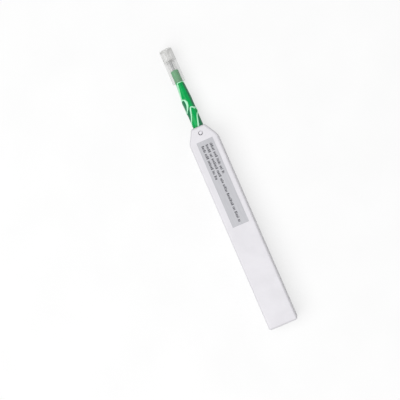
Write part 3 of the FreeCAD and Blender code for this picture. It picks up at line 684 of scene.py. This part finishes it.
@dataclass(frozen=True)
class Steel:
    """Drawn steel: fine lines along the piece stretch its highlights.

    The die leaves lines about 0.02 mm apart. They are drawn coarser, so that they show.
    """

    name: str
    colour: str
    line: str
    roughness: float = 0.3
    gloss_spread: tuple[float, float] = (0.06, 0.08)
    line_mm: float = 0.15
    relief_mm: float = 0.002
    stretch: tuple[float, float, float] = (0.05, 1.0, 1.0)

    def build(self) -> bpy.types.Material:
        """Build the material: drawing lines in colour, gloss and relief on bare metal.

        Returns:
            The material.
        """
        material, tree, shader = start_material(self.name)
        place = add_node(tree, "ShaderNodeTexCoord").outputs["Object"]
        drawn = add_node(tree, "ShaderNodeMapping", {"Vector": place, "Scale": self.stretch})
        colour = mottle(tree, (self.line, self.colour), self.line_mm, drawn.outputs[0],
                        detail=4.0)
        tree.links.new(colour, shader.inputs["Base Color"])
        gloss = (self.roughness - self.gloss_spread[0], self.roughness + self.gloss_spread[1])
        break_gloss(tree, shader, drawn.outputs[0], self.line_mm, gloss, self.relief_mm)
        shader.inputs["Metallic"].default_value = 1.0
        return material


@dataclass(frozen=True)
class Fibre:
    """Microfibre thread or felt: matt and soft, with fibres that catch a little light.

    The fibres are about 0.01 mm thick in thread and 0.03 mm in felt. They are drawn
    coarser, so that they show.
    """

    name: str
    light: str
    dark: str
    fibre_mm: float = 0.12
    stretch: tuple[float, float, float] = (0.2, 1.0, 1.0)
    gloss: tuple[float, float] = (0.8, 0.95)
    relief_mm: float = 0.03
    sheen: float = 0.2

    def build(self) -> bpy.types.Material:
        """Build the material: fibres in colour, gloss and relief, with a little sheen.

        Returns:
            The material.
        """
        material, tree, shader = start_material(self.name)
        place = add_node(tree, "ShaderNodeTexCoord").outputs["Object"]
        drawn = add_node(tree, "ShaderNodeMapping", {"Vector": place, "Scale": self.stretch})
        colour = mottle(tree, (self.dark, self.light), self.fibre_mm, drawn.outputs[0],
                        detail=4.0)
        tree.links.new(colour, shader.inputs["Base Color"])
        break_gloss(tree, shader, drawn.outputs[0], self.fibre_mm, self.gloss, self.relief_mm)
        shader.inputs["Sheen Weight"].default_value = self.sheen
        return material


@dataclass(frozen=True)
class Backdrop:
    """White card under the pen, which fades to clean white but keeps a soft shadow.

    Its own tone stays low, so that the shadow shows, and the lift makes up for it.
    """

    name: str = "card_white_matt"
    light: str = "#9C9C9C"
    dark: str = "#989898"
    lift: float = 0.67
    cloud_mm: float = 40.0
    roughness: float = 0.95

    def build(self) -> bpy.types.Material:
        """Build the material: matt card with a little light of its own in the picture.

        Returns:
            The material.
        """
        material, tree, shader = start_material(self.name)
        place = add_node(tree, "ShaderNodeTexCoord").outputs["Object"]
        colour = mottle(tree, (self.dark, self.light), self.cloud_mm, place)
        tree.links.new(colour, shader.inputs["Base Color"])
        path = add_node(tree, "ShaderNodeLightPath").outputs
        seen = join_masks(tree, [path["Is Camera Ray"], path["Is Glossy Ray"],
                                 path["Is Transmission Ray"]])
        lift = add_node(tree, "ShaderNodeMath", {0: seen, 1: self.lift},
                        operation="MULTIPLY")
        tree.links.new(lift.outputs[0], shader.inputs["Emission Strength"])
        shader.inputs["Emission Color"].default_value = linear("#FFFFFF")
        shader.inputs["Roughness"].default_value = self.roughness
        return material


def finishes() -> dict[str, Finish]:
    """List the finish for each of the record's material slots.

    Returns:
        A finish by slot name.
    """
    return {
        "white_abs": Moulding("abs_white_moulded", "#ECEAEF", "#E7E5EA", 0.42, 1.53,
                              seam_height=pen_axis()),
        "label_film": Film(),
        "green_plastic": RimmedMoulding(),
        "clear_plastic": Translucent(),
        "natural_acetal": Moulding("acetal_natural_moulded", "#E6E5DE", "#DEDDD5", 0.35, 1.48),
        "grey_plastic": Moulding("acetal_grey_moulded", "#6A6B6F", "#5F6064", 0.4, 1.48),
        "cleaning_thread": Fibre("polyester_microfibre_wound", "#F2F2EE", "#DCDCD6"),
        "felt": Fibre("wool_felt_pressed", "#B5B0A2", "#96917F", 0.2, (1.0, 1.0, 1.0)),
        "spring_steel": Steel("spring_steel_wire_drawn", "#A6A6A8", "#8A8A8C", 0.28),
        "steel_tube": Steel("stainless_steel_tube_drawn", "#C4C5C7", "#ADAEB0", 0.42),
    }


def mesh_piece(name: str, body: str, build: bmesh.types.BMesh,
               material: bpy.types.Material) -> bpy.types.Object:
    """Turn built geometry into a piece that rides on a body.

    Args:
        name: The piece's name.
        body: The body that it rides on.
        build: The geometry, which is freed here.
        material: Its material.

    Returns:
        The new object.
    """
    mesh = bpy.data.meshes.new(name)
    build.to_mesh(mesh)
    build.free()
    piece = bpy.data.objects.new(name, mesh)
    bpy.context.scene.collection.objects.link(piece)
    mesh.materials.append(material)
    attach(piece, body)
    return piece


@dataclass
class FinishRack:
    """The finishes, built once each, and the material slot of every node."""

    materials: dict[str, bpy.types.Material]
    slots: dict[str, str]

    @classmethod
    def make(cls) -> "FinishRack":
        """Build every finish and read the nodes' slots from the record.

        Returns:
            The rack.
        """
        slots = {part["node"]: part["material_slot"] for part in frame["record"]["subparts"]}
        return cls({slot: finish.build() for slot, finish in finishes().items()}, slots)

    def of(self, node: str) -> bpy.types.Material:
        """Return the material of a node's slot."""
        return self.materials[self.slots[node]]

    def dress(self, node: str) -> None:
        """Give a frame node its finish on every slot.

        Args:
            node: The node's name.
        """
        piece = frame["nodes"][node]
        for slot in piece.material_slots:
            slot.material = self.of(node)
        if not piece.material_slots:
            piece.data.materials.append(self.of(node))


@dataclass
class CompressionSpring:
    """A spring of round wire with closed ends.

    It stands for the frame's plain coil of the same size.
    """

    node: str
    body: str
    joint: str
    wire_mm: float
    turns: int
    chords: int = 20
    sides: int = 8
    end_pitch: float = 1.05

    def along(self, turn: float, length: float) -> float:
        """Work out how far along the spring the wire has come.

        Args:
            turn: Turns of wire from the rear end.
            length: The length between the wire's first and last middle.

        Returns:
            The distance from the rear end, closely wound in the first and last turn.
        """
        close = self.end_pitch * self.wire_mm * MM
        open_pitch = (length - 2 * close) / (self.turns - 2)
        first = min(turn, 1.0)
        last = max(turn - (self.turns - 1), 0.0)
        return close * (first + last) + open_pitch * (turn - first - last)

    def build(self, material: bpy.types.Material) -> bpy.types.Object:
        """Sweep the wire round the spring's coils.

        Args:
            material: The wire's material.

        Returns:
            The spring as one piece that replaces the frame's coil.
        """
        low, high = (Vector(corner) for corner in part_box(self.node))
        reach = self.wire_mm * MM / 2
        radius = (high.z - low.z) / 2 - reach
        middle = Vector((low.x + reach, 0.0, pen_axis()))
        length = high.x - low.x - 2 * reach
        build = bmesh.new()
        rings = []
        for step in range(self.turns * self.chords + 1):
            turn = step / self.chords
            angle = math.tau * turn
            outward = Vector((0.0, math.sin(angle), math.cos(angle)))
            centre = middle + outward * radius + Vector((self.along(turn, length), 0, 0))
            ring = []
            for side in range(self.sides):
                around = math.tau * side / self.sides
                spoke = outward * math.cos(around) + Vector((math.sin(around), 0, 0))
                ring.append(build.verts.new(centre + spoke * reach))
            rings.append(ring)
        for ring, after in zip(rings, rings[1:]):
            for side in range(self.sides):
                beside = (side + 1) % self.sides
                build.faces.new((ring[side], ring[beside], after[beside], after[side]))
        build.faces.new(rings[0][::-1])
        build.faces.new(rings[-1])
        bmesh.ops.recalc_face_normals(build, faces=build.faces)
        piece = mesh_piece(f"{self.node}_coil", self.body, build, material)
        piece.data.shade_smooth()
        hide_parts(self.node)
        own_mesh(piece)
        return piece


@dataclass
class LabelPrint:
    """Greeked lines of print on the label: plain blocks, with no lettering."""

    block_mm: float = 1.2
    tall_mm: float = 1.6
    ink_mm: float = 0.015
    narrow_mm: float = 0.4
    wide_mm: float = 0.7
    block_gap_mm: float = 0.27
    word_gap_mm: float = 0.75
    start_mm: float = 2.9
    line_pitch_mm: float = 2.63
    rhythm_step: int = 3

    # Blocks in each word of the three lines, from the nose end.
    WORDS = ((5, 4, 7, 3, 3), (6, 3, 8, 5, 4, 6, 9, 3, 5, 2), (6, 4, 5, 3, 2))
    # Which blocks of a word stand tall, and which are wide, in a repeating rhythm.
    TALL = (True, False, False, True, False, False, False, True)
    WIDE = (True, True, False, True, False, True, False)

    def words(self, line: tuple[int, ...], seed: int) -> list[tuple[float, float, bool]]:
        """Work out the blocks of one line.

        Args:
            line: The number of blocks in each word.
            seed: Where the line starts in the two rhythms.

        Returns:
            Each block's distance from the line's start, its width, and if it is tall.
        """
        blocks, reach, count = [], 0.0, seed
        for word in line:
            for _ in range(word):
                wide = self.WIDE[count % len(self.WIDE)]
                width = self.wide_mm if wide else self.narrow_mm
                blocks.append((reach, width, self.TALL[count % len(self.TALL)]))
                reach += width + self.block_gap_mm
                count += 1
            reach += self.word_gap_mm
        return blocks

    def build(self) -> bpy.types.Object:
        """Lay the blocks just above the label's face, readable from its left side.

        Returns:
            The print as one piece that rides on the case.
        """
        low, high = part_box("label")
        build = bmesh.new()
        middle = (low[1] + high[1]) / 2
        for row, line in enumerate(self.WORDS):
            base = middle + ((1 - row) * self.line_pitch_mm + self.block_mm / 2) * MM
            for reach, width, tall in self.words(line, row * self.rhythm_step):
                height = (self.tall_mm if tall else self.block_mm) * MM
                front = high[0] - (self.start_mm + reach + width / 2) * MM
                centre = Vector((front, base - height / 2, high[2] + self.ink_mm * MM / 2))
                size = Matrix.Diagonal((width * MM, height, self.ink_mm * MM, 1))
                bmesh.ops.create_cube(build, size=1.0,
                                      matrix=Matrix.Translation(centre) @ size)
        return mesh_piece("label_print", "case", build, Ink().build())


@dataclass
class SubAssembly:
    """Pieces that are put together on the bench as one unit."""

    rack: FinishRack
    nodes: tuple[str, ...] = ()

    def build(self) -> None:
        """Dress the unit's nodes, add its own pieces and report each of them."""
        for node in self.nodes:
            self.rack.dress(node)
            LOG.info("dressed %s in %s", node, self.rack.of(node).name)
        for piece in self.added():
            LOG.info("built %s", piece.name)

    def added(self) -> list[bpy.types.Object]:
        """Build the pieces that the frame lacks or has in a plainer form."""
        return []


@dataclass
class Case(SubAssembly):
    """The two half shells with the label, the front bush and the return spring."""

    nodes: tuple[str, ...] = ("lower_case", "upper_case", "label", "front_bush",
                              "return_spring")
    spring_wire_mm: float = 0.6
    spring_turns: int = 8

    def added(self) -> list[bpy.types.Object]:
        """Print the label and wind the return spring."""
        spring = CompressionSpring("return_spring", "case", "nozzle_slide",
                                   self.spring_wire_mm, self.spring_turns)
        return [LabelPrint().build(), spring.build(self.rack.of("return_spring"))]


@dataclass
class Carriage(SubAssembly):
    """The sliding nozzle and the reel chassis, with the thread's straight runs."""

    nodes: tuple[str, ...] = ("nozzle", "reel_chassis", "reel_cover", "brake_washer",
                              "fresh_thread", "used_thread")


@dataclass
class Reels(SubAssembly):
    """The supply and take-up spools with their windings, and the feed gear."""

    nodes: tuple[str, ...] = ("supply_spool", "fresh_winding", "take_up_spool",
                              "used_winding", "feed_gear")


@dataclass
class TipDrive(SubAssembly):
    """The turning cam barrel, the sprung tip and the thread that loops over it."""

    nodes: tuple[str, ...] = ("cam_barrel", "tip_core", "tip_sleeve", "tip_thread",
                              "tip_spring")
    spring_wire_mm: float = 0.4
    spring_turns: int = 6

    def added(self) -> list[bpy.types.Object]:
        """Wind the tip's own spring."""
        spring = CompressionSpring("tip_spring", "tip_drive", "tip_float",
                                   self.spring_wire_mm, self.spring_turns)
        return [spring.build(self.rack.of("tip_spring"))]


@dataclass
class GuideCap(SubAssembly):
    """The pull-off guide cap, its hinged lid and the lid's pin."""

    nodes: tuple[str, ...] = ("guide_cap", "cap_lid", "lid_pin")


@dataclass
class Studio:
    """Pale floor, soft lamps and the camera, set from the pen's own axes."""

    lean_back_deg: float = 2.5
    lean_side_deg: float = -4.6
    turn_deg: float = 23.41
    distance: float = 0.6
    field_width: float = 0.23834
    shift_right: float = 0.06037
    shift_up: float = 0.03519
    key_power: float = 9.9
    key_size: float = 1.1
    key_place: tuple[float, float, float] = (-0.1, 0.45, 1.03)
    fill_power: float = 1.0
    fill_size: float = 0.7
    fill_place: tuple[float, float, float] = (0.2, -0.95, 0.4)
    world_strength: float = 0.37
    floor_reach: float = 4.0
    sensor_mm: float = 36.0

    def axes(self) -> tuple[Vector, Vector, Vector]:
        """Work out the camera's own axes.

        Returns:
            Its right, up and backward directions in the frame.
        """
        lean = math.radians(self.lean_back_deg)
        side = math.radians(self.lean_side_deg)
        back = Vector((-math.sin(lean), math.sin(side), math.cos(lean) * math.cos(side)))
        back.normalize()
        along = Vector((1, 0, 0)) - back * back.x
        along.normalize()
        across = along.cross(back)
        turn = math.radians(self.turn_deg)
        up = along * math.cos(turn) + across * math.sin(turn)
        return up.cross(back), up, back

    def camera(self) -> bpy.types.Object:
        """Place the camera so that the pen's length fills the frame as it should.

        Returns:
            The camera.
        """
        right, up, back = self.axes()
        low, high = (Vector(corner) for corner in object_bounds())
        centre = (low + high) / 2
        aim = centre - right * self.shift_right * self.field_width
        aim -= up * self.shift_up * self.field_width
        data = bpy.data.cameras.new("camera")
        data.sensor_width = self.sensor_mm
        data.lens = self.sensor_mm * self.distance / self.field_width
        camera = bpy.data.objects.new("camera", data)
        turn = Matrix((right, up, back)).transposed()
        camera.matrix_world = Matrix.Translation(aim + back * self.distance) @ turn.to_4x4()
        bpy.context.scene.collection.objects.link(camera)
        bpy.context.scene.camera = camera
        return camera

    def floor(self) -> None:
        """Lay the pale floor under the pen."""
        build = bmesh.new()
        bmesh.ops.create_grid(build, x_segments=1, y_segments=1, size=self.floor_reach)
        mesh = bpy.data.meshes.new("floor")
        build.to_mesh(mesh)
        build.free()
        floor = bpy.data.objects.new("floor", mesh)
        bpy.context.scene.collection.objects.link(floor)
        mesh.materials.append(Backdrop().build())
        floor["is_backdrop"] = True

    def lamp(self, name: str, offset: Vector, size: float, power: float) -> None:
        """Hang one soft lamp that looks at the pen.

        Args:
            name: The lamp's name.
            offset: Its place from the pen's middle.
            size: The side of its square face.
            power: Its power in watts.
        """
        data = bpy.data.lights.new(name, "AREA")
        data.size = size
        data.energy = power
        lamp = bpy.data.objects.new(name, data)
        lamp.location = offset
        lamp.rotation_euler = offset.to_track_quat("Z", "Y").to_euler()
        bpy.context.scene.collection.objects.link(lamp)

    def lights(self) -> None:
        """Hang the key and fill lamps and set the world's even light."""
        self.lamp("key", Vector(self.key_place), self.key_size, self.key_power)
        self.lamp("fill", Vector(self.fill_place), self.fill_size, self.fill_power)
        world = bpy.data.worlds.new("studio")
        world.use_nodes = True
        tree = world.node_tree
        tree.nodes.clear()
        path = add_node(tree, "ShaderNodeLightPath").outputs
        seen = join_masks(tree, [path["Is Camera Ray"], path["Is Transmission Ray"]])
        even = add_node(tree, "ShaderNodeBackground", {"Color": (1, 1, 1, 1),
                                                        "Strength": self.world_strength})
        white = add_node(tree, "ShaderNodeBackground", {"Color": (1, 1, 1, 1),
                                                         "Strength": 1.0})
        mix = add_node(tree, "ShaderNodeMixShader", {0: seen, 1: even.outputs[0],
                                                      2: white.outputs[0]})
        add_node(tree, "ShaderNodeOutputWorld", {"Surface": mix.outputs[0]})
        bpy.context.scene.world = world

    def build(self) -> None:
        """Set up the camera, floor, lights and colour view."""
        self.camera()
        self.floor()
        self.lights()
        bpy.context.scene.view_settings.view_transform = "Standard"


def main() -> None:
    """Dress the frame, build the added pieces and set up the studio."""
    logging.basicConfig(level=logging.INFO, format="%(name)s: %(message)s")
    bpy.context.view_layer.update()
    Studio().build()
    LOG.info("studio ready")
    rack = FinishRack.make()
    for unit in (Case, Carriage, Reels, TipDrive, GuideCap):
        unit(rack).build()


if __name__ == "__main__":
    main()
